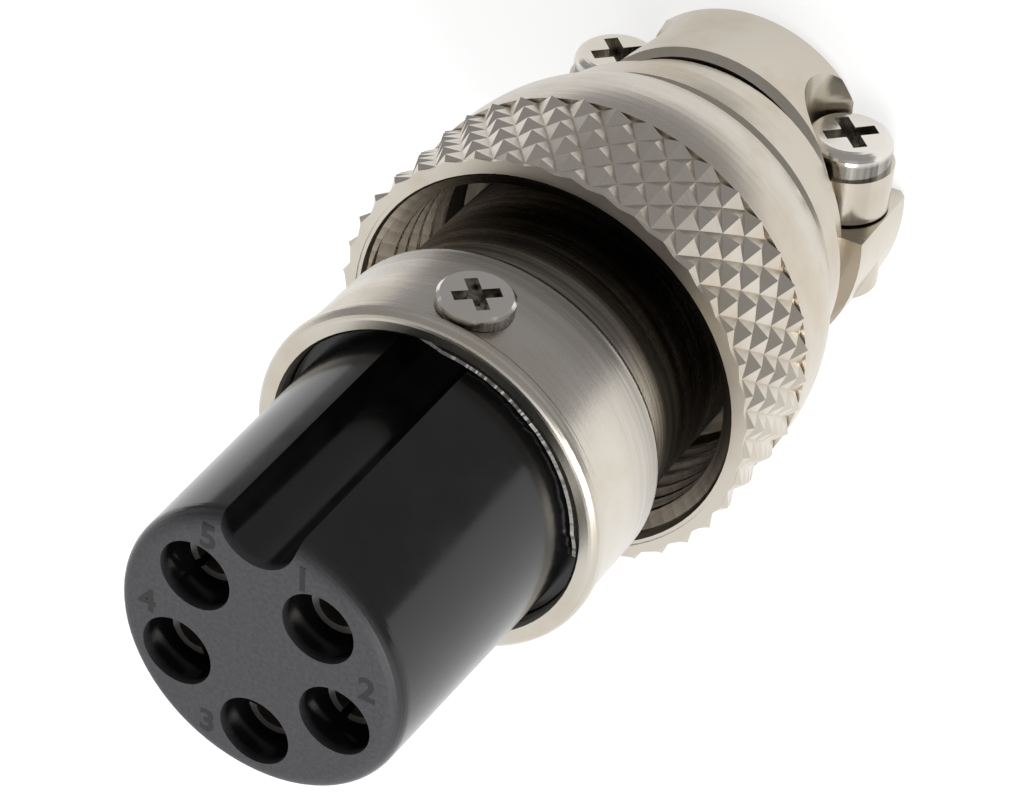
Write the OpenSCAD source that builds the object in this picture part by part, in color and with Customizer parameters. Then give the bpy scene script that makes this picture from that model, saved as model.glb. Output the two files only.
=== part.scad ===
// Five-way cable-mounted circular plug with a knurled coupling nut.
// Axis along Z, cable end on the floor at z = 0, mating face on top.
// The keyway and the clamp saddle face -Y.  Millimetres.

/* [Insert] */
// diameter of the nose at the mating face
insert_nose_d = 11.4; // [11.2:0.1:11.6]
// growth of the nose diameter from its face to its shoulder (mould draft)
insert_draft = 0.5; // [0.2:0.1:0.6]
// diameter of the body that sits in the barrel
insert_body_d = 12.6; // [12.5:0.05:12.8]
// how far the nose stands out of the barrel
insert_proud = 11; // [9:0.5:13]
// how deep the shoulder lies inside the barrel mouth
insert_shoulder_depth = 0.8; // [0.6:0.1:1.1]
// length of the body behind the shoulder
insert_body_len = 3.6; // [3.3:0.1:3.8]
// radius of the rounded front edge
insert_edge_r = 0.7; // [0.4:0.1:0.9]
// width of the keyway
keyway_w = 3.0; // [2.6:0.1:3.2]
// depth of the keyway below the nose surface
keyway_depth = 1.7; // [1.5:0.1:1.9]

/* [Contacts] */
// number of contacts
contact_count = 5; // [5:1:5]
// pitch circle of the contacts
contact_circle_d = 6.9; // [6.7:0.1:7.1]
// angle between the keyway and the first contact
contact_first_deg = 45; // [44:1:46]
// outside diameter of a contact tube
contact_d = 2.1; // [2.0:0.05:2.2]
// socket diameter inside a contact
contact_bore = 1.55; // [1.4:0.05:1.6]
// socket depth
contact_bore_depth = 7; // [5:0.5:8]
// distance of the contact rim below the mating face
contact_recess = 1.3; // [1:0.1:2]
// entry hole in the insert face
entry_d = 2.8; // [2.7:0.1:2.9]
// depth of the entry hole
entry_depth = 8; // [6:0.5:10]
// slack of a contact in the insert
contact_slack = 0.02; // [0.01:0.01:0.05]
// diameter of the contact collar behind the insert
contact_collar_d = 2.7; // [2.5:0.1:2.9]
// thickness of the contact collar
contact_collar_t = 0.6; // [0.4:0.1:0.8]
// length of the solder cup behind the collar
cup_len = 3.6; // [2.5:0.1:4]
// depth of the solder cup bore
cup_bore_depth = 2.8; // [2:0.1:3]
// width of the spring slots at the contact rim
slot_w = 0.3; // [0.2:0.05:0.4]
// length of the spring slots
slot_len = 4.5; // [3:0.5:6]

/* [Barrel] */
// wall of the front part, round the insert
barrel_wall = 0.75; // [0.65:0.05:0.85]
// length of the front part, mouth to step
barrel_front_len = 4.7; // [4.6:0.1:6]
// rounding of the front part's rear edge
step_r = 0.6; // [0.4:0.05:0.65]
// wall of the rear part, round the wiring space
rear_wall = 0.95; // [0.8:0.05:1]
// length of the rear part, step to rear shell
barrel_rear_len = 13.9; // [12:0.1:15]
// slack of the insert body in the barrel, on radius
insert_slack = 0.05; // [0.02:0.01:0.08]
// height of the mouth bead above the barrel
bead_h = 0.13; // [0.08:0.01:0.16]
// width of the mouth bead
bead_w = 0.55; // [0.4:0.05:0.8]
// radius that rounds the bead to the mouth
bead_r = 0.4; // [0.3:0.05:0.45]
// depth of the turned line behind the bead
line_depth = 0.08; // [0.05:0.01:0.1]
// width of the turned line
line_w = 0.12; // [0.1:0.01:0.2]
// diameter of the wiring space inside the rear part
wiring_d = 10.8; // [10.2:0.1:11]
// outside diameter of the rear spigot
spigot_d = 10.6; // [10.2:0.1:11]
// length of the rear spigot
spigot_len = 1.9; // [1.4:0.1:2.1]
// bore of the rear spigot
spigot_bore = 8.8; // [8:0.1:9.2]

/* [Coupling nut] */
// nominal thread diameter
thread_d = 16; // [16:1:16]
// thread pitch
thread_pitch = 1; // [0.75:0.25:1]
// length of the threaded bore, with its run-out
thread_len = 6.5; // [6:0.1:6.7]
// wall from the bottom of the thread to the knurl points
nut_wall = 1.0; // [0.9:0.05:1.3]
// overall length of the nut
nut_len = 9.0; // [8.8:0.1:9.4]
// gap between the nut and the rear shell at rest
nut_gap = 0.9; // [0.3:0.1:1.2]
// length of the knurled band
knurl_len = 4.9; // [4.2:0.1:5.4]
// number of knurl points round the nut
knurl_count = 40; // [36:1:44]
// rows of knurl points along the band
knurl_rows = 5; // [3:2:7]
// depth of the knurl
knurl_depth = 0.36; // [0.25:0.01:0.45]
// height and depth of the chamfer on the knurl points at the front face
knurl_edge = 0.22; // [0.15:0.01:0.25]
// depth of the mouth chamfer
mouth_depth = 0.3; // [0.2:0.05:0.4]
// width of the mouth chamfer
mouth_w = 0.15; // [0.1:0.05:0.2]
// how far the rear lip reaches in behind the barrel's step
lip_hold = 0.15; // [0.1:0.05:0.2]
// thickness of the rear lip
lip_t = 1.1; // [0.8:0.1:1.3]
// width of the rear face round the lip hole
rear_face_w = 1.05; // [0.9:0.05:1.2]
// wall of the smooth shoulder over the thread, next to the knurl
shoulder_wall = 0.85; // [0.75:0.05:0.9]

/* [Rear shell] */
// diameter of the front collar
collar_d = 14.8; // [14.6:0.1:15.2]
// length of the front collar
collar_len = 1.5; // [1.4:0.1:2.2]
// chamfer of the collar edges
collar_chamfer = 0.25; // [0.1:0.05:0.35]
// diameter of the neck
neck_d = 13; // [12.6:0.1:13.4]
// length of the neck
neck_len = 1.8; // [1.6:0.1:2.6]
// diameter of the clamp body
tail_d = 14.8; // [14.2:0.1:15]
// length of the clamp body
tail_len = 4.5; // [4.2:0.1:5]
// slack of the spigot thread, on radius
spigot_slack = 0.05; // [0.02:0.01:0.08]
// diameter of the cable passage
cable_d = 7.6; // [6.8:0.1:7.8]
// height of the split face above the axis
split_h = 0.8; // [0.6:0.1:1.2]

/* [Cable clamp] */
// gap between the saddle and the split face
saddle_gap = 0.1; // [0.05:0.05:0.2]
// outside diameter of the saddle arch
saddle_d = 11.6; // [11:0.1:12.2]
// height of the arch's centre above the plug's axis
saddle_rise = 1.1; // [0.9:0.1:1.4]
// length of the saddle along the cable
saddle_len = 4.2; // [3.9:0.1:4.3]
// thickness of the saddle ears
ear_t = 2; // [1.6:0.1:2.2]
// rounding radius of the ears about each screw
ear_r = 1.95; // [1.9:0.05:2.1]
// distance of each clamp screw's axis inside the side of the clamp body
clamp_screw_inset = 2.1; // [2:0.05:2.2]
// height of the grip ribs in the cable passage
rib_h = 0.35; // [0.2:0.05:0.5]
// width of the grip ribs
rib_w = 0.6; // [0.4:0.1:0.8]

/* [Screws] */
// head diameter of a clamp screw
clamp_head_d = 3.6; // [3.4:0.1:3.7]
// head height of a clamp screw
clamp_head_h = 1.2; // [1:0.1:1.4]
// thread diameter of a clamp screw
clamp_thread_d = 2; // [1.8:0.1:2.2]
// length of a clamp screw under its head
clamp_screw_len = 5; // [4.5:0.1:5.5]
// head diameter of the insert screw
lock_head_d = 2.9; // [2.8:0.05:2.9]
// head height of the insert screw
lock_head_h = 0.6; // [0.5:0.05:0.7]
// thread diameter of the insert screw
lock_thread_d = 1.6; // [1.5:0.1:1.7]
// length of the insert screw under its head
lock_len = 1.9; // [1.6:0.1:2]
// distance of the insert screw behind the barrel mouth
lock_back = 2.05; // [2.05:0.05:2.4]
// how far the insert screw is turned from the keyway line
lock_turn = 5; // [0:1:8]
// slack of screw threads, on radius
screw_slack = 0.03; // [0.02:0.01:0.05]
// width of the cross recess blades of a clamp screw
clamp_cross_w = 0.6; // [0.5:0.05:0.7]
// depth of the cross recess of a clamp screw
clamp_cross_depth = 0.7; // [0.5:0.05:0.8]
// width of the cross recess blades of the insert screw
lock_cross_w = 0.5; // [0.4:0.05:0.55]
// depth of the cross recess of the insert screw
lock_cross_depth = 0.42; // [0.3:0.02:0.45]

/* [Hidden] */
$fn = 96;
eps = 0.01;

// heights along the axis, from the cable end up
z_neck = tail_len;
z_collar = z_neck + neck_len;
z_seat = z_collar + collar_len;                 // collar face, where the barrel butts
z_step = z_seat + barrel_rear_len;
z_mouth = z_step + barrel_front_len;
z_face = z_mouth + insert_proud;
z_shoulder = z_mouth - insert_shoulder_depth;
z_insert_back = z_shoulder - insert_body_len;
z_nut = z_seat + nut_gap;
z_nut_front = z_nut + nut_len;
z_knurl = z_nut_front - knurl_len;
z_clamp = tail_len / 2 - 0.2;                   // clamp screw axes
z_lock = z_mouth - lock_back;
clamp_screw_x = tail_d / 2 - clamp_screw_inset;

// radii
r_bore = insert_body_d / 2 + insert_slack;
r_barrel = r_bore + barrel_wall;
r_rear = wiring_d / 2 + rear_wall;
r_lip = r_barrel - lip_hold;
r_major = thread_d / 2;
r_minor = r_major - 0.541 * thread_pitch;
r_nut = r_major + nut_wall;
r_pitch = contact_circle_d / 2;
far = 4 * r_nut;                                // beyond any outline

knurl_rim = 0.1;                                // plain rim behind the first row
knurl_back = 0.35;                              // metal of the ring under the grooves
knurl_overlap = 0.1;                            // how far the turned body stays below the grooves

// contact k lies this many degrees round from the keyway, numbered towards -X
contact_step = (360 - 2 * contact_first_deg) / (contact_count - 1);
function contact_deg(k) = -contact_first_deg - (k - 1) * contact_step;

steel = [0.80, 0.78, 0.74];
nickel = [0.76, 0.74, 0.70];
silver = [0.85, 0.84, 0.82];
black = [0.12, 0.12, 0.13];

// quarter round between two radii, as profile points
function arc(cx, cy, r, a0, a1, n = 8) =
    [for (i = [0:n]) let (a = a0 + (a1 - a0) * i / n) [cx + r * cos(a), cy + r * sin(a)]];

// place on the front side (-Y) turned by deg, with local +Z pointing outward
module outward(deg, z) {
    translate([0, 0, z]) rotate([0, 0, deg]) rotate([90, 0, 0]) children();
}

// cross recess, sinking from the top of a head at height h, with a cone in the middle
module cross_recess(h, span, w, depth) {
    for (a = [45, 135])
        translate([0, 0, h - depth / 2 + eps]) rotate([0, 0, a])
            cube([span, w, depth + 2 * eps], center = true);
    translate([0, 0, h - depth * 1.4]) cylinder(h = depth * 1.4 + eps, r1 = 0.1, r2 = w * 0.75, $fn = 32);
}

module insert() {
    nose_r = insert_nose_d / 2;
    foot_r = nose_r + insert_draft / 2;
    color(black) difference() {
        rotate_extrude() polygon(concat(
            [[0, z_insert_back], [insert_body_d / 2, z_insert_back], [insert_body_d / 2, z_shoulder],
             [foot_r, z_shoulder]],
            arc(nose_r - insert_edge_r, z_face - insert_edge_r, insert_edge_r, 0, 90),
            [[0, z_face]]));
        // keyway: a round-bottomed channel along the nose
        hull_y = nose_r - keyway_depth + keyway_w / 2;
        translate([0, -hull_y, z_shoulder]) cylinder(h = z_face, d = keyway_w);
        translate([-keyway_w / 2, -hull_y - nose_r, z_shoulder]) cube([keyway_w, nose_r, z_face]);
        // entry holes and contact bores
        for (k = [1:contact_count])
            rotate([0, 0, contact_deg(k)]) translate([0, -r_pitch, 0]) {
                translate([0, 0, z_face - entry_depth]) cylinder(h = entry_depth + 1, d = entry_d);
                translate([0, 0, z_insert_back - 1])
                    cylinder(h = z_face - z_insert_back, d = contact_d + 2 * contact_slack);
            }
        // hole for the insert screw
        outward(-lock_turn, z_lock)
            translate([0, 0, r_barrel - lock_len - 0.3])
                cylinder(h = nose_r, d = lock_thread_d + 2 * screw_slack);
    }
}

// one contact: slotted socket, collar and solder cup
module contact(k) {
    top = z_face - contact_recess;
    cup_bottom = z_insert_back - contact_collar_t - cup_len;
    color(silver) rotate([0, 0, contact_deg(k)]) translate([0, -r_pitch, 0]) difference() {
        union() {
            translate([0, 0, cup_bottom]) cylinder(h = top - cup_bottom, d = contact_d);
            translate([0, 0, z_insert_back - contact_collar_t])
                cylinder(h = contact_collar_t, d = contact_collar_d);
        }
        translate([0, 0, top - contact_bore_depth]) cylinder(h = contact_bore_depth + 1, d = contact_bore);
        translate([0, 0, cup_bottom - 1]) cylinder(h = cup_bore_depth + 1, d = contact_bore);
        translate([-contact_d, -slot_w / 2, top - slot_len]) cube([2 * contact_d, slot_w, slot_len + 1]);
        // the cup is open on its outer side
        translate([-contact_d, -contact_d - contact_bore / 4, cup_bottom - 1])
            cube([2 * contact_d, contact_d, cup_bore_depth * 0.8 + 1]);
    }
}

module contact_1() { contact(1); }
module contact_2() { contact(2); }
module contact_3() { contact(3); }
module contact_4() { contact(4); }
module contact_5() { contact(5); }

module front_barrel() {
    bead = r_barrel + bead_h;
    z_line = z_mouth - bead_w;
    color(nickel) difference() {
        rotate_extrude() polygon(concat(
            [[spigot_bore / 2, z_seat - spigot_len], [spigot_d / 2, z_seat - spigot_len],
             [spigot_d / 2, z_seat], [r_rear, z_seat], [r_rear, z_step - step_r]],
            arc(r_barrel - step_r, z_step, step_r, -90, 0),
            [[r_barrel, z_line - line_w],
             [r_barrel - line_depth, z_line - line_w], [r_barrel - line_depth, z_line],
             [bead - 0.05, z_line], [bead, z_line + 0.05]],
            arc(bead - bead_r, z_mouth - bead_r, bead_r, 0, 90, 6),
            [[r_bore + 0.12, z_mouth], [r_bore, z_mouth - 0.12], [r_bore, z_insert_back],
             [wiring_d / 2, z_insert_back], [wiring_d / 2, z_seat + 0.8], [spigot_bore / 2, z_seat + 0.2]]));
        // flat seat and threaded hole for the insert screw
        outward(-lock_turn, z_lock) {
            translate([0, 0, lock_seat()]) cylinder(h = far, d = lock_head_d + 2 * screw_slack);
            cylinder(h = r_barrel + 1, d = lock_thread_d + 2 * screw_slack);
        }
    }
}

// distance of the insert screw's seat from the axis
function lock_seat() = sqrt(pow(r_barrel, 2) - pow(lock_head_d / 2, 2)) + 0.03;

module insert_screw() {
    color(steel) outward(-lock_turn, z_lock) translate([0, 0, lock_seat()]) difference() {
        union() {
            rotate_extrude($fn = 64) polygon([[0, 0], [lock_head_d / 2, 0],
                [lock_head_d / 2, lock_head_h - 0.12], [lock_head_d / 2 - 0.12, lock_head_h], [0, lock_head_h]]);
            translate([0, 0, -lock_len]) cylinder(h = lock_len + eps, d = lock_thread_d, $fn = 48);
        }
        cross_recess(lock_head_h, lock_head_d * 0.62, lock_cross_w, lock_cross_depth);
    }
}

// the knurl: a ring of four-sided points, left by two sets of crossing grooves
module knurl_ring() {
    n = 2 * knurl_count;
    m = knurl_rows;
    r_root = r_nut - knurl_depth;
    r_in = r_root - knurl_back;
    z_first = z_knurl + knurl_rim;
    z_last = z_nut_front - knurl_edge;
    // rows of vertices: a plain rear rim, the knurl, then its points chamfered at the front face
    levels = concat([z_knurl], [for (j = [0:m]) z_first + (z_last - z_first) * j / m], [z_nut_front]);
    function is_root(j, k) = j == 0 || (min(j, m + 1) + k) % 2 == 0;
    function rad(j, k) = is_root(j, k) ? r_root : j == m + 2 ? r_nut - knurl_edge : r_nut;
    outer = [for (j = [0:m + 2]) for (k = [0:n - 1]) let (a = 360 * k / n)
        [rad(j, k) * cos(a), rad(j, k) * sin(a), levels[j]]];
    inner = [for (z = [z_knurl, z_nut_front]) for (k = [0:n - 1]) let (a = 360 * k / n)
        [r_in * cos(a), r_in * sin(a), z]];
    top = m + 2;
    base = (top + 1) * n;
    function at(j, k) = j * n + k % n;
    skin = [for (j = [0:top - 1]) for (k = [0:n - 1])
        each (j + k) % 2 == 0
            ? [[at(j, k), at(j + 1, k + 1), at(j, k + 1)], [at(j, k), at(j + 1, k), at(j + 1, k + 1)]]
            : [[at(j, k), at(j + 1, k), at(j, k + 1)], [at(j, k + 1), at(j + 1, k), at(j + 1, k + 1)]]];
    bore = [for (k = [0:n - 1]) each [
        [base + k, base + (k + 1) % n, base + n + (k + 1) % n],
        [base + k, base + n + (k + 1) % n, base + n + k]]];
    rear = [for (k = [0:n - 1]) each [
        [at(0, k), at(0, k + 1), base + (k + 1) % n], [at(0, k), base + (k + 1) % n, base + k]]];
    front = [for (k = [0:n - 1]) each [
        [at(top, k), base + n + (k + 1) % n, at(top, k + 1)],
        [at(top, k), base + n + k, base + n + (k + 1) % n]]];
    polyhedron(points = concat(outer, inner), faces = concat(skin, bore, rear, front));
}

module coupling_nut() {
    r_core = r_nut - knurl_depth - knurl_overlap;
    r_sh = r_major + shoulder_wall;
    r_end = r_lip + rear_face_w;
    r_blank = r_minor - 0.2;                    // bored out below
    z_thread = z_nut_front - thread_len;
    dome = [for (i = [0:10]) let (u = 1 - i / 10)
        [r_sh - (r_sh - r_end) * pow(u, 2.4), z_nut + (z_knurl - z_nut) * (1 - u)]];
    color(nickel) difference() {
        union() {
            rotate_extrude() polygon(concat(
                [[r_lip + 0.1, z_nut], [r_end - 0.1, z_nut]], dome,
                [[r_core, z_knurl], [r_core, z_nut_front - 0.05], [r_blank, z_nut_front - 0.05],
                 [r_blank, z_nut + lip_t], [r_lip, z_nut + lip_t], [r_lip, z_nut + 0.1]]));
            knurl_ring();
        }
        // bore up to the lip, thread at its major diameter, mouth chamfer
        rotate_extrude() polygon([
            [0, z_nut + lip_t], [r_minor, z_nut + lip_t], [r_minor, z_thread - 0.5], [r_major, z_thread],
            [r_major, z_nut_front - mouth_depth], [r_major + mouth_w, z_nut_front],
            [r_major + mouth_w, z_nut_front + 1], [0, z_nut_front + 1]]);
    }
}

// outline of the ears in plan, seen along the clamp screws; h0 to h1 above the axis
module ears(h0, h1, z0, z1) {
    intersection() {
        for (s = [-1, 1])
            translate([s * clamp_screw_x, 0, z_clamp]) rotate([90, 0, 0])
                translate([0, 0, h0]) cylinder(h = h1 - h0, r = ear_r, $fn = 64);
        translate([-far, -far, z0]) cube([2 * far, 2 * far, z1 - z0]);
    }
}

module rear_shell() {
    r_collar = collar_d / 2;
    r_spigot = spigot_d / 2 + spigot_slack;
    z_thread = z_seat - spigot_len - 0.1;
    color(nickel) difference() {
        union() {
            rotate_extrude() polygon([
                [0, 0], [tail_d / 2 - 0.3, 0], [tail_d / 2, 0.3], [tail_d / 2, z_neck],
                [neck_d / 2, z_neck], [neck_d / 2, z_collar - 0.3], [r_collar - collar_chamfer, z_collar],
                [r_collar, z_collar + collar_chamfer], [r_collar, z_seat - collar_chamfer],
                [r_collar - collar_chamfer, z_seat], [0, z_seat]]);
            ears(-split_h - 2, split_h, 0, z_neck);
        }
        // the saddle's side of the tail is cut away down to the split face
        translate([-far, -far - split_h, -1]) cube([2 * far, far, z_neck + 1]);
        // cable passage, wiring space and spigot thread
        translate([0, 0, -1]) cylinder(h = z_seat, d = cable_d);
        translate([0, 0, z_neck - 0.2]) cylinder(h = z_seat, d = spigot_bore);
        translate([0, 0, z_thread]) cylinder(h = far, r = r_spigot);
        // tapped holes
        for (s = [-1, 1])
            translate([s * clamp_screw_x, 0, z_clamp]) rotate([90, 0, 0])
                translate([0, 0, split_h + saddle_gap + ear_t - clamp_screw_len - 0.3])
                    cylinder(h = far, d = clamp_thread_d + 2 * screw_slack, $fn = 48);
    }
    // grip ribs across the trough
    color(nickel) for (z = [tail_len * 0.3, tail_len * 0.7])
        intersection() {
            translate([0, 0, z - rib_w / 2]) difference() {
                cylinder(h = rib_w, d = cable_d + 0.4);
                translate([0, 0, -1]) cylinder(h = rib_w + 2, d = cable_d - 2 * rib_h);
            }
            translate([-far, -split_h + 0.2, -1]) cube([2 * far, 2 * far, z_neck + 2]);
        }
}

module clamp_saddle() {
    h0 = split_h + saddle_gap;
    z0 = (tail_len - saddle_len) / 2;
    r_arch = saddle_d / 2;
    color(nickel) difference() {
        union() {
            intersection() {
                translate([0, -saddle_rise, z0]) rotate_extrude() polygon([[0, 0], [r_arch - 0.3, 0],
                    [r_arch, 0.3], [r_arch, saddle_len - 0.3], [r_arch - 0.3, saddle_len], [0, saddle_len]]);
                translate([-far, -far - h0, -1]) cube([2 * far, far, z_neck + 2]);
            }
            ears(h0, h0 + ear_t, z0, z0 + saddle_len);
        }
        // pockets that let the screw heads down onto the ears
        for (s = [-1, 1])
            translate([s * clamp_screw_x, 0, z_clamp]) rotate([90, 0, 0]) {
                translate([0, 0, h0 + ear_t]) cylinder(h = far, r = ear_r + 0.1, $fn = 64);
                translate([s > 0 ? 0 : -far, -ear_r - 0.1, h0 + ear_t]) cube([far, 2 * ear_r + 0.2, far]);
                cylinder(h = far, d = clamp_thread_d + 2 * screw_slack + 0.2, $fn = 48);
            }
        // half-round cable side, springing from the lower face
        translate([0, -h0, -1]) cylinder(h = z_neck + 2, d = cable_d);
    }
}

module clamp_screws() {
    h0 = split_h + saddle_gap + ear_t;
    color(steel) for (s = [-1, 1])
        translate([s * clamp_screw_x, 0, z_clamp]) rotate([90, 0, 0]) translate([0, 0, h0])
            difference() {
                union() {
                    rotate_extrude($fn = 64) polygon(concat([[0, 0], [clamp_head_d / 2, 0]],
                        arc(clamp_head_d / 2 - 0.5, clamp_head_h - 0.5, 0.5, 0, 90, 6), [[0, clamp_head_h]]));
                    translate([0, 0, -clamp_screw_len])
                        cylinder(h = clamp_screw_len + eps, d = clamp_thread_d, $fn = 48);
                }
                cross_recess(clamp_head_h, clamp_head_d * 0.62, clamp_cross_w, clamp_cross_depth);
            }
}

insert();
contact_1();
contact_2();
contact_3();
contact_4();
contact_5();
front_barrel();
insert_screw();
coupling_nut();
rear_shell();
clamp_saddle();
clamp_screws();
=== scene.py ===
"""Looks of the circular cable plug: satin nickel shell, black moulded insert, knurled coupling nut.

The plug stands on its cable end; lengths are in metres, and mm() turns millimetres into metres.
"""

import math
import random

import bmesh
import bpy
from mathutils import Matrix, Vector

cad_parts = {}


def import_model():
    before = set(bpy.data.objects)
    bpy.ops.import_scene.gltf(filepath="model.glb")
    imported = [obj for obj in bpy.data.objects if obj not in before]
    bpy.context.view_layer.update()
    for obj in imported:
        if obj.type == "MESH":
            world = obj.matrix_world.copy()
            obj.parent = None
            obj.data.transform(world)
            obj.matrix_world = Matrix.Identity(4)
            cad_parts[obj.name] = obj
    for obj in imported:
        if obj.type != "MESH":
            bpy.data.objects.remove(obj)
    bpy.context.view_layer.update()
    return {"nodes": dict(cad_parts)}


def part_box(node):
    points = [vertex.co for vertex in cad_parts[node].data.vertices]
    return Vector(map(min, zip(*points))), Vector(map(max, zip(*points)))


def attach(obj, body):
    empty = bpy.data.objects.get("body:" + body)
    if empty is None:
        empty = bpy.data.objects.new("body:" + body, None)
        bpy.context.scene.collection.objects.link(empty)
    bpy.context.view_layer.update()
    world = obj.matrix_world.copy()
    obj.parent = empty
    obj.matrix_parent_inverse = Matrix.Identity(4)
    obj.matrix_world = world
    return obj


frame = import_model()
nodes = frame["nodes"]

# ---------------------------------------------------------------- sizes

PLUG = "plug"
NUT = "nut"


def mm(v):
    return v / 1000.0


FACE_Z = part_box("insert")[1][2]
MOUTH_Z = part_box("front_barrel")[1][2]
NUT_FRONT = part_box("coupling_nut")[1][2]

# the nut's inside thread, which the solids leave out
THREAD_MAJOR = mm(8.0)
THREAD_MINOR = mm(7.46)
THREAD_PITCH = mm(1.0)
THREAD_TURNS = 6
THREAD_STEPS = 72           # sections in one turn
THREAD_INSET = mm(0.35)     # from the nut's front face to the end of the ridge
THREAD_ROOTED = mm(0.02)    # how far the ridge's foot goes into the nut's wall
THREAD_HALF_FOOT = 0.4375   # of the pitch, a 60 degree ridge
THREAD_HALF_CREST = 0.125

# ragged lip between the insert's foot and the barrel's mouth
BURR_R = mm(6.02)
BURR_T = mm(0.13)
BURR_ARC = (math.radians(-100), math.radians(10))       # from the keyway round to -X
BURR_STEPS = 150
BURR_SEED = 4
BURR_SWAY = mm(0.035)       # how far the lip wanders in radius
BURR_RISE = mm(0.05)        # and in height
SHOULDER_DEPTH = mm(0.8)

# plain contact numbers on the face: centre of each in mm, height and added boldness
DIGITS = {
    "1": (-1.8, -4.3),
    "2": (-4.4, -0.7),
    "3": (1.95, 3.95),
    "4": (4.4, -0.45),
    "5": (1.92, -4.38),
}
DIGIT_H = mm(0.95)
DIGIT_BOLD = mm(0.045)
DIGIT_THICK = mm(0.01)      # each way from its middle
DIGIT_SUNK = mm(0.006)      # middle of a digit below the face
DIGIT_LIFT = mm(0.009)      # keeps a digit's flat pieces above the rounded edge
FONT_CAPS = 0.7             # height of a digit in a text of size 1
FLAT_R = mm(5.0)            # radius of the insert's flat face
EDGE_R = mm(0.7)            # rounding of its edge

# outer ends of the screw heads, on the -Y side
CLAMP_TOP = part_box("clamp_screws")[0][1]
LOCK_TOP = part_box("insert_screw")[0][1]

# ---------------------------------------------------------------- node helpers


class Shader:
    """A material's node tree, built top down with short calls."""

    def __init__(self, name):
        self.mat = bpy.data.materials.new(name)
        self.mat.use_nodes = True
        self.tree = self.mat.node_tree
        self.bsdf = self.tree.nodes["Principled BSDF"]
        self.coord = self.add("ShaderNodeTexCoord").outputs["Object"]

    def add(self, kind, **settings):
        node = self.tree.nodes.new(kind)
        for key, value in settings.items():
            setattr(node, key, value)
        return node

    def link(self, a, b):
        self.tree.links.new(a, b)

    def set(self, **values):
        for key, value in values.items():
            self.bsdf.inputs[key.replace("_", " ")].default_value = value

    def scaled(self, x, y, z):
        node = self.add("ShaderNodeMapping")
        node.inputs["Scale"].default_value = (x, y, z)
        self.link(self.coord, node.inputs["Vector"])
        return node.outputs["Vector"]

    def noise(self, vector, scale=1.0, detail=3.0, rough=0.55):
        node = self.add("ShaderNodeTexNoise")
        node.inputs["Scale"].default_value = scale
        node.inputs["Detail"].default_value = detail
        node.inputs["Roughness"].default_value = rough
        self.link(vector, node.inputs["Vector"])
        return node.outputs["Fac"]

    def ramp(self, value, low, high, to_low=0.0, to_high=1.0):
        node = self.add("ShaderNodeMapRange")
        node.inputs["From Min"].default_value = low
        node.inputs["From Max"].default_value = high
        node.inputs["To Min"].default_value = to_low
        node.inputs["To Max"].default_value = to_high
        self.link(value, node.inputs["Value"])
        return node.outputs["Result"]

    def mix(self, fac, a, b):
        node = self.add("ShaderNodeMix", data_type="RGBA")
        for socket, value in (("A", a), ("B", b)):
            target = [s for s in node.inputs if s.name == socket and s.type == "RGBA"][0]
            if isinstance(value, tuple):
                target.default_value = (*value, 1.0)
            else:
                self.link(value, target)
        self.link(fac, node.inputs[0])
        return [s for s in node.outputs if s.type == "RGBA"][0]

    def math(self, op, a, b=0.0):
        node = self.add("ShaderNodeMath", operation=op)
        for i, value in enumerate((a, b)):
            if isinstance(value, (int, float)):
                node.inputs[i].default_value = value
            else:
                self.link(value, node.inputs[i])
        return node.outputs[0]

    def bump(self, height, strength, distance, normal=None):
        node = self.add("ShaderNodeBump")
        node.inputs["Strength"].default_value = strength
        node.inputs["Distance"].default_value = distance
        self.link(height, node.inputs["Height"])
        if normal is not None:
            self.link(normal, node.inputs["Normal"])
        return node.outputs["Normal"]


# ---------------------------------------------------------------- materials


def nickel(name, tone, rough, turned=0.4, stain=0.35, painted_shade=()):
    """Satin nickel plate over turned metal: rings of tool marks, faint stains, fine grain.

    Each painted_shade = (axis, shade_starts, dark, amount) is painted shade: it darkens the metal
    in streaks from the place shade_starts on that axis to the place dark.
    """
    s = Shader(name)
    s.set(Metallic=1.0)
    rings = s.noise(s.scaled(40, 40, 9000), 1.0, 4.0, 0.7)
    coarse = s.noise(s.scaled(30, 30, 1800), 1.0, 2.0)
    grain = s.noise(s.scaled(1, 1, 1), 9000.0, 2.0)
    cloud = s.noise(s.scaled(1, 1, 1), 220.0, 4.0, 0.6)
    stained = s.ramp(cloud, 0.48, 0.75, 0.0, stain)
    warm = tuple(c * f for c, f in zip(tone, (0.80, 0.70, 0.56)))
    colour = s.mix(stained, tone, warm)
    # painted shade: each entry darkens the metal in streaks along one axis
    for axis, shade_starts, dark, amount in painted_shade:
        split = s.add("ShaderNodeSeparateXYZ")
        s.link(s.coord, split.inputs[0])
        depth = s.ramp(split.outputs[axis], shade_starts, dark)
        streaks = s.ramp(s.noise(s.scaled(60, 60, 2600), 1.0, 3.0, 0.65), 0.36, 0.62, 0.45, 1.0)
        colour = s.mix(s.math("MULTIPLY", s.math("MULTIPLY", depth, streaks), amount),
                       colour, tuple(c * 0.06 for c in tone))
    s.link(colour, s.bsdf.inputs["Base Color"])
    wear = s.math("MULTIPLY", s.math("ADD", rings, cloud), 0.5)
    s.link(s.ramp(wear, 0.35, 0.65, rough - 0.07, rough + 0.09), s.bsdf.inputs["Roughness"])
    marks = s.bump(rings, turned, mm(0.006))
    marks = s.bump(coarse, turned * 0.6, mm(0.02), marks)
    s.link(s.bump(grain, 0.12, mm(0.01), marks), s.bsdf.inputs["Normal"])
    return s.mat


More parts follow.
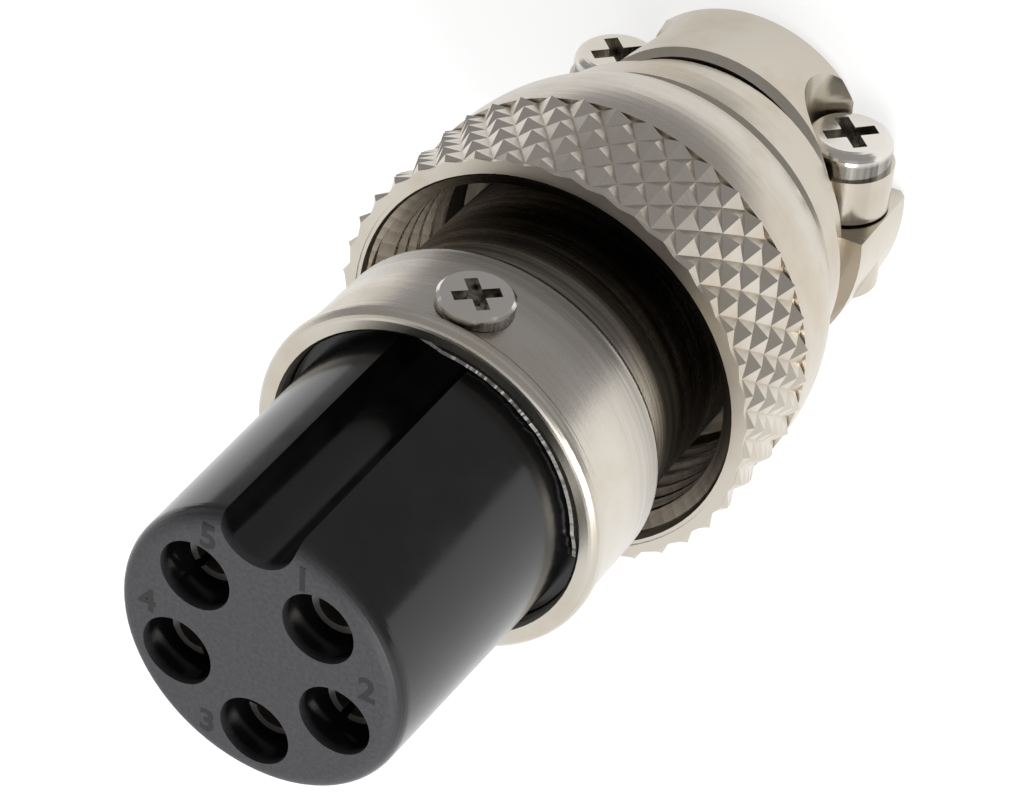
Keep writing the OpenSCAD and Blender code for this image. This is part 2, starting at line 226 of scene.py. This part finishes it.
def moulded_black(name):
    """Black moulded insert: matte grainy face, glossy sides with faint scuffs."""
    s = Shader(name)
    s.set(IOR=1.5)
    grain = s.noise(s.scaled(1, 1, 1), 6500.0, 3.0, 0.6)
    cloud = s.noise(s.scaled(1, 1, 1), 420.0, 5.0, 0.65)
    split = s.add("ShaderNodeSeparateXYZ")
    s.link(s.coord, split.inputs[0])
    on_face = s.ramp(split.outputs["Z"], FACE_Z - mm(0.45), FACE_Z - mm(0.02))
    side = s.mix(s.ramp(cloud, 0.4, 0.7), (0.006, 0.006, 0.0065), (0.012, 0.012, 0.013))
    face = s.mix(s.ramp(grain, 0.35, 0.65), (0.040, 0.040, 0.045), (0.062, 0.061, 0.067))
    s.link(s.mix(on_face, side, face), s.bsdf.inputs["Base Color"])
    scuffed = s.ramp(cloud, 0.35, 0.75, 0.13, 0.24)
    rough = s.add("ShaderNodeMix", data_type="FLOAT")
    s.link(on_face, rough.inputs[0])
    s.link(scuffed, rough.inputs[2])
    rough.inputs[3].default_value = 0.6
    s.link(rough.outputs[0], s.bsdf.inputs["Roughness"])
    height = s.math("MULTIPLY", grain, s.math("ADD", s.math("MULTIPLY", on_face, 0.9), 0.1))
    s.link(s.bump(height, 0.3, mm(0.012)), s.bsdf.inputs["Normal"])
    return s.mat


def digit_painted_shade(name):
    """The sunk digits: smoother than the face, and coloured darker than it as painted shade of their
    recesses.
    """
    s = Shader(name)
    cloud = s.noise(s.scaled(1, 1, 1), 2500.0, 3.0)
    s.link(s.mix(s.ramp(cloud, 0.35, 0.7), (0.003, 0.003, 0.0035), (0.012, 0.012, 0.013)),
           s.bsdf.inputs["Base Color"])
    s.link(s.ramp(cloud, 0.3, 0.7, 0.4, 0.6), s.bsdf.inputs["Roughness"])
    return s.mat


NICKEL = (0.60, 0.55, 0.475)
LAND = (0.64, 0.60, 0.53)
KNURL = (0.65, 0.60, 0.525)
PALE = (0.76, 0.73, 0.67)
# painted shade on the barrel: darker in streaks back from the mouth to nearly black where it runs
# into the nut, partly duller turned metal
BARREL_PAINTED_SHADE = (("Z", MOUTH_Z - mm(2.4), MOUTH_Z - mm(4.6), 0.55),
               ("Z", MOUTH_Z - mm(4.6), MOUTH_Z - mm(7.5), 0.92))
# painted shade inside the nut: the thread darker away from +X and deeper in from the nut's front
THREAD_PAINTED_SHADE = (("X", mm(7.6), mm(2.0), 0.9), ("Z", NUT_FRONT, NUT_FRONT - mm(6), 0.7))
mat_barrel = nickel("nickel_turned", LAND, 0.25, 0.6, 0.5, BARREL_PAINTED_SHADE)
mat_nut = nickel("nickel_nut", KNURL, 0.31, 0.15, 0.5)
mat_shell = nickel("nickel_shell", NICKEL, 0.2, 0.12, 0.6)
# the screws' soil tuples darken the heads from a little below their tops: painted shade in the cross
# recesses
mat_clamp_screw = nickel("nickel_clamp_screw", PALE, 0.2, 0.1, 0.3,
                         (("Y", CLAMP_TOP + mm(0.35), CLAMP_TOP + mm(0.6), 0.85),))
mat_lock_screw = nickel("nickel_lock_screw", PALE, 0.2, 0.1, 0.3,
                        (("Y", LOCK_TOP + mm(0.28), LOCK_TOP + mm(0.42), 0.85),))
# contact metal toned darker than bare silver: painted shade deep in the contact holes
mat_contact = nickel("silver_contact", (0.42, 0.40, 0.37), 0.3, 0.2)
mat_thread = nickel("nickel_thread", (0.55, 0.47, 0.38), 0.28, 0.2, 0.8, THREAD_PAINTED_SHADE)
mat_burr = nickel("dull_burr", (0.40, 0.39, 0.37), 0.5, 0.3, 0.2)
mat_insert = moulded_black("moulded_black")
mat_digit_shade = digit_painted_shade("digit_recess_shade")

LOOKS = {
    "insert": mat_insert,
    "front_barrel": mat_barrel,
    "insert_screw": mat_lock_screw,
    "coupling_nut": mat_nut,
    "rear_shell": mat_shell,
    "clamp_saddle": mat_shell,
    "clamp_screws": mat_clamp_screw,
}
for name, obj in nodes.items():
    obj.data.materials.clear()
    obj.data.materials.append(LOOKS.get(name, mat_contact))

# ---------------------------------------------------------------- pieces


def add_piece(name, verts, faces, body, mat):
    """A mesh piece that rides on a body."""
    me = bpy.data.meshes.new(name)
    me.from_pydata(verts, [], faces)
    me.materials.append(mat)
    o = bpy.data.objects.new(name, me)
    bpy.context.scene.collection.objects.link(o)
    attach(o, body)


def swept(rings):
    """Faces of a tube through rings of four points each, closed at both ends."""
    verts = [p for ring in rings for p in ring]
    faces = [(4 * i + k, 4 * i + (k + 1) % 4, 4 * i + 4 + (k + 1) % 4, 4 * i + 4 + k)
             for i in range(len(rings) - 1) for k in range(4)]
    last = 4 * (len(rings) - 1)
    return verts, faces + [(3, 2, 1, 0), (last, last + 1, last + 2, last + 3)]


def around(r, angle, z):
    return (r * math.cos(angle), r * math.sin(angle), z)


def thread_ridge():
    """The right-hand 60 degree ridge inside the nut, fading out at both ends."""
    depth = THREAD_MAJOR - THREAD_MINOR
    foot = THREAD_MAJOR + THREAD_ROOTED
    low = NUT_FRONT - THREAD_INSET - THREAD_TURNS * THREAD_PITCH
    rings = []
    for i in range(THREAD_STEPS * THREAD_TURNS + 1):
        turn = i / THREAD_STEPS
        fade = min(1.0, 4 * turn + 0.1, 4 * (THREAD_TURNS - turn) + 0.1)
        angle = 2 * math.pi * turn
        z = low + turn * THREAD_PITCH
        half = THREAD_HALF_FOOT * THREAD_PITCH * fade
        crest = THREAD_HALF_CREST * THREAD_PITCH * fade
        top = THREAD_MAJOR - depth * fade
        rings.append([around(foot, angle, z - half), around(top, angle, z - crest),
                      around(top, angle, z + crest), around(foot, angle, z + half)])
    verts, faces = swept(rings)
    add_piece("nut_thread_ridge", verts, faces, NUT, mat_thread)


def mouth_burr():
    """A thin ragged lip of metal left standing inside the barrel's mouth."""
    rng = random.Random(BURR_SEED)
    rings = []
    wave = 0.0
    for i in range(BURR_STEPS + 1):
        t = i / BURR_STEPS
        angle = BURR_ARC[0] + (BURR_ARC[1] - BURR_ARC[0]) * t - math.pi / 2
        wave = 0.75 * wave + rng.uniform(-1, 1) * 0.5
        ends = min(1.0, 8 * t, 8 * (1 - t))
        inner = BURR_R + BURR_SWAY * wave
        high = MOUTH_Z - mm(0.14) + BURR_RISE * wave - mm(0.5) * (1 - ends)
        low = MOUTH_Z - SHOULDER_DEPTH
        outer = inner + BURR_T
        rings.append([around(inner, angle, low), around(inner, angle, high),
                      around(outer, angle, high - mm(0.03)), around(outer, angle, low)])
    verts, faces = swept(rings)
    add_piece("mouth_burr", verts, faces, PLUG, mat_burr)


def edge_drop(r):
    """How far the insert's rounded edge lies below its face at radius r."""
    over = min(max(r - FLAT_R, 0.0), EDGE_R)
    return EDGE_R - math.sqrt(EDGE_R ** 2 - over ** 2)


def digits():
    """The contact numbers, upright as seen with the keyway up."""
    me = bpy.data.meshes.new("contact_digits")
    bm = bmesh.new()
    for text, (x, y) in DIGITS.items():
        curve = bpy.data.curves.new("digit_" + text, "FONT")
        curve.body = text
        curve.size = DIGIT_H / FONT_CAPS
        curve.align_x = "CENTER"
        curve.align_y = "CENTER"
        curve.extrude = DIGIT_THICK
        curve.offset = DIGIT_BOLD
        curve.resolution_u = 4
        o = bpy.data.objects.new("digit_" + text, curve)
        bpy.context.scene.collection.objects.link(o)
        bpy.context.view_layer.update()
        shown = o.evaluated_get(bpy.context.evaluated_depsgraph_get())
        outline = bpy.data.meshes.new_from_object(shown)
        spots = [vert.co for vert in outline.vertices]
        centre = Vector([(min(c[i] for c in spots) + max(c[i] for c in spots)) / 2
                         for i in range(3)])
        outline.transform(Matrix.Translation((mm(x), mm(y), FACE_Z - DIGIT_SUNK))
                          @ Matrix.Rotation(math.pi, 4, "Z")
                          @ Matrix.Translation(-centre))
        bm.from_mesh(outline)
        bpy.data.objects.remove(o)
        bpy.data.meshes.remove(outline)
    bmesh.ops.triangulate(bm, faces=bm.faces)
    bmesh.ops.subdivide_edges(bm, edges=bm.edges, cuts=3, use_grid_fill=True)
    for vert in bm.verts:
        vert.co.z -= max(0.0, edge_drop(math.hypot(vert.co.x, vert.co.y)) - DIGIT_LIFT)
    bm.to_mesh(me)
    bm.free()
    me.materials.append(mat_digit_shade)
    o = bpy.data.objects.new("contact_digits", me)
    bpy.context.scene.collection.objects.link(o)
    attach(o, PLUG)


thread_ridge()
mouth_burr()
digits()

# ---------------------------------------------------------------- stage and light

WHITE = 1.0
GREY = 0.33
HORIZON = (-0.12, 0.10)             # over which the grey side turns white, as a direction's Y
FLOOR_TONE = 0.42
FLOOR_GLOW = 0.72                   # as the camera and reflections see the floor
CARD = ((-0.4, -0.6), (0.4, mm(-13)), mm(0.05))
KEY_PLACE = (-0.25, 0.10, 0.45)
KEY_SIZE = 0.25
KEY_POWER = 1.1


def world():
    """White for the camera, and for reflections a white side (+Y) and a grey side (-Y)."""
    w = bpy.data.worlds.new("studio")
    bpy.context.scene.world = w
    w.use_nodes = True
    t = w.node_tree
    back = t.nodes["Background"]
    back.inputs["Strength"].default_value = 1.0
    coord = t.nodes.new("ShaderNodeTexCoord")
    split = t.nodes.new("ShaderNodeSeparateXYZ")
    t.links.new(coord.outputs["Generated"], split.inputs[0])
    side = t.nodes.new("ShaderNodeMapRange")
    side.interpolation_type = "SMOOTHSTEP"
    side.inputs["From Min"].default_value = HORIZON[0]
    side.inputs["From Max"].default_value = HORIZON[1]
    side.inputs["To Min"].default_value = GREY
    side.inputs["To Max"].default_value = WHITE
    t.links.new(split.outputs["Y"], side.inputs["Value"])
    path = t.nodes.new("ShaderNodeLightPath")
    mix = t.nodes.new("ShaderNodeMix")
    mix.data_type = "FLOAT"
    t.links.new(path.outputs["Is Camera Ray"], mix.inputs["Factor"])
    t.links.new(side.outputs["Result"], mix.inputs["A"])
    mix.inputs["B"].default_value = WHITE
    t.links.new(mix.outputs["Result"], back.inputs["Color"])


def plane(name, low, high, z):
    me = bpy.data.meshes.new(name)
    corners = [(low[0], low[1], z), (high[0], low[1], z), (high[0], high[1], z), (low[0], high[1], z)]
    me.from_pydata(corners, [], [(0, 1, 2, 3)])
    o = bpy.data.objects.new(name, me)
    bpy.context.scene.collection.objects.link(o)
    return o


def floor():
    o = plane("floor", (-3, -3), (3, 3), 0.0)
    s = Shader("floor_white")
    tone = (FLOOR_TONE, FLOOR_TONE, FLOOR_TONE, 1.0)
    s.set(Roughness=0.9, Base_Color=tone, Emission_Color=(1, 1, 1, 1), Specular_IOR_Level=0.0)
    path = s.add("ShaderNodeLightPath")
    seen = s.math("MAXIMUM", path.outputs["Is Camera Ray"], path.outputs["Is Glossy Ray"])
    seen = s.math("MAXIMUM", seen, path.outputs["Is Transmission Ray"])
    s.link(s.math("MULTIPLY", seen, FLOOR_GLOW), s.bsdf.inputs["Emission Strength"])
    o.data.materials.append(s.mat)


def grey_card():
    """A grey card on the -Y side, seen only in reflections."""
    o = plane("grey_card", *CARD)
    s = Shader("card_grey")
    s.set(Base_Color=(0, 0, 0, 1), Emission_Color=(GREY, GREY, GREY * 1.03, 1))
    s.set(Emission_Strength=1.0, Specular_IOR_Level=0.0)
    o.data.materials.append(s.mat)
    o.visible_camera = False
    o.visible_diffuse = False
    o.visible_shadow = False


def lamp(name, place, size, power, at=(0, 0, mm(18))):
    """A round lamp at a place, turned to the plug's middle."""
    data = bpy.data.lights.new(name, "AREA")
    data.shape = "DISK"
    data.size = size
    data.energy = power
    o = bpy.data.objects.new(name, data)
    o.location = place
    o.rotation_euler = (Vector(place) - Vector(at)).to_track_quat("Z", "Y").to_euler()
    bpy.context.scene.collection.objects.link(o)


world()
floor()
grey_card()
lamp("key", KEY_PLACE, KEY_SIZE, KEY_POWER)

# ---------------------------------------------------------------- camera

CAM_PLACE = Vector((mm(-43.65), mm(-73.58), mm(105.30)))
CAM_AIM = Vector((mm(-0.11), mm(0.07), mm(20.19)))
CAM_ROLL = math.radians(-135.85)
CAM_LENS = 113.63


def camera():
    data = bpy.data.cameras.new("camera")
    data.sensor_width = 36.0
    data.lens = CAM_LENS
    data.clip_start = mm(5)
    o = bpy.data.objects.new("camera", data)
    turn = (CAM_PLACE - CAM_AIM).to_track_quat("Z", "Y").to_matrix()
    rolled = turn @ Matrix.Rotation(CAM_ROLL, 3, "Z")
    o.matrix_world = Matrix.Translation(CAM_PLACE) @ rolled.to_4x4()
    bpy.context.scene.collection.objects.link(o)
    bpy.context.scene.camera = o


camera()
bpy.context.scene.view_settings.view_transform = "Standard"
